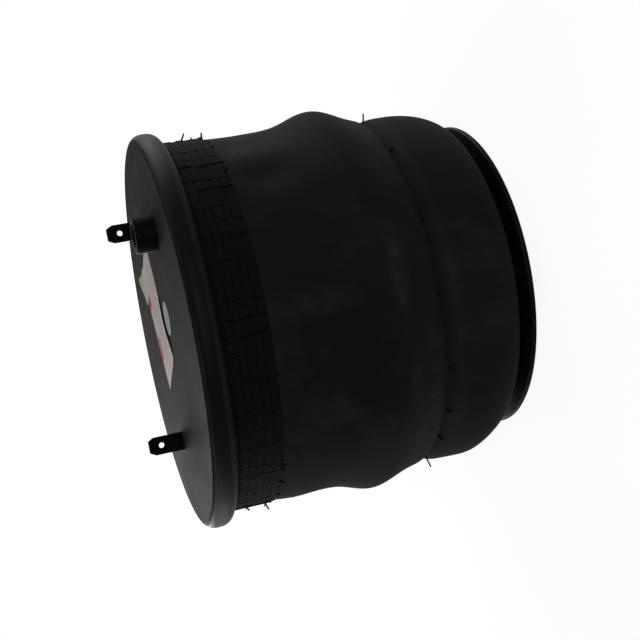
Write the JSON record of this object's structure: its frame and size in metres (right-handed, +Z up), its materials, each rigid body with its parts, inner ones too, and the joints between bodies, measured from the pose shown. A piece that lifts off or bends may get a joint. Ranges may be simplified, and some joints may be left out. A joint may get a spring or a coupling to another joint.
{
  "type": "air suspension spring",
  "caption": "Rolling-lobe air spring for a heavy vehicle: a rubber sleeve between a crimped bead plate with an air inlet and a ribbed, flanged piston.",
  "frame": {"origin": "centre of the piston's base, on the plane that the base stands on", "axes": "+Z up along the spring's axis from the piston to the bead plate; +Y towards the locating tab that stands beside the air inlet; +X towards the side of the plate that carries the air inlet"},
  "size_m": [0.288, 0.288, 0.2656],
  "materials": {
    "moulded_plastic": "moulded, fairly glossy black",
    "insert_brass": "drawn hexagonal bar, drilled and tapped",
    "zinc_steel": "zinc plated",
    "seal_rubber": "smooth black",
    "stop_rubber": "matt black, moulded",
    "bead_wire_steel": "bronze-coated wire bundle",
    "cover_rubber": "matt black with a faint grey bloom",
    "cord_ply": "rubberised nylon cord",
    "liner_rubber": "smooth black",
    "plate_paint": "black electrocoat, satin",
    "boss_steel": "black, satin"
  },
  "bodies": {
    "piston": {"piston": "moulded_plastic", "piston_base": "moulded_plastic", "mounting_inserts": "insert_brass", "centre_bolt": "zinc_steel", "centre_washer": "zinc_steel", "clamp_plate": "zinc_steel", "clamp_seal": "seal_rubber", "bump_stop": "stop_rubber", "bump_stop_insert": "zinc_steel", "lower_bead_wire": "bead_wire_steel"},
    "bellows": {"bellows_cover": "cover_rubber", "outer_cord_ply": "cord_ply", "inner_cord_ply": "cord_ply", "inner_liner": "liner_rubber"},
    "top_plate": {"bead_plate": "plate_paint", "upper_bead_wire": "bead_wire_steel", "air_inlet_boss": "boss_steel", "boss_weld": "plate_paint", "locating_tab_inlet_side": "plate_paint", "locating_tab_far_side": "plate_paint", "tab_welds": "plate_paint"}
  },
  "joints": [
    {"name": "tilt", "type": "hinge", "parent": "piston", "child": "bellows", "pos_m": [0, 0, 0.06], "axis": [1, 0, 0], "range_deg": [-5, 5], "stiffness_Nm_per_rad": 250},
    {"name": "stroke", "type": "slide", "parent": "bellows", "child": "top_plate", "axis": [0, 0, 1], "range_m": [-0.045, 0.11], "stiffness_N_per_m": 9000, "springref_m": 0.0024, "deforming": ["bellows_cover", "outer_cord_ply", "inner_cord_ply", "inner_liner"]}
  ]
}
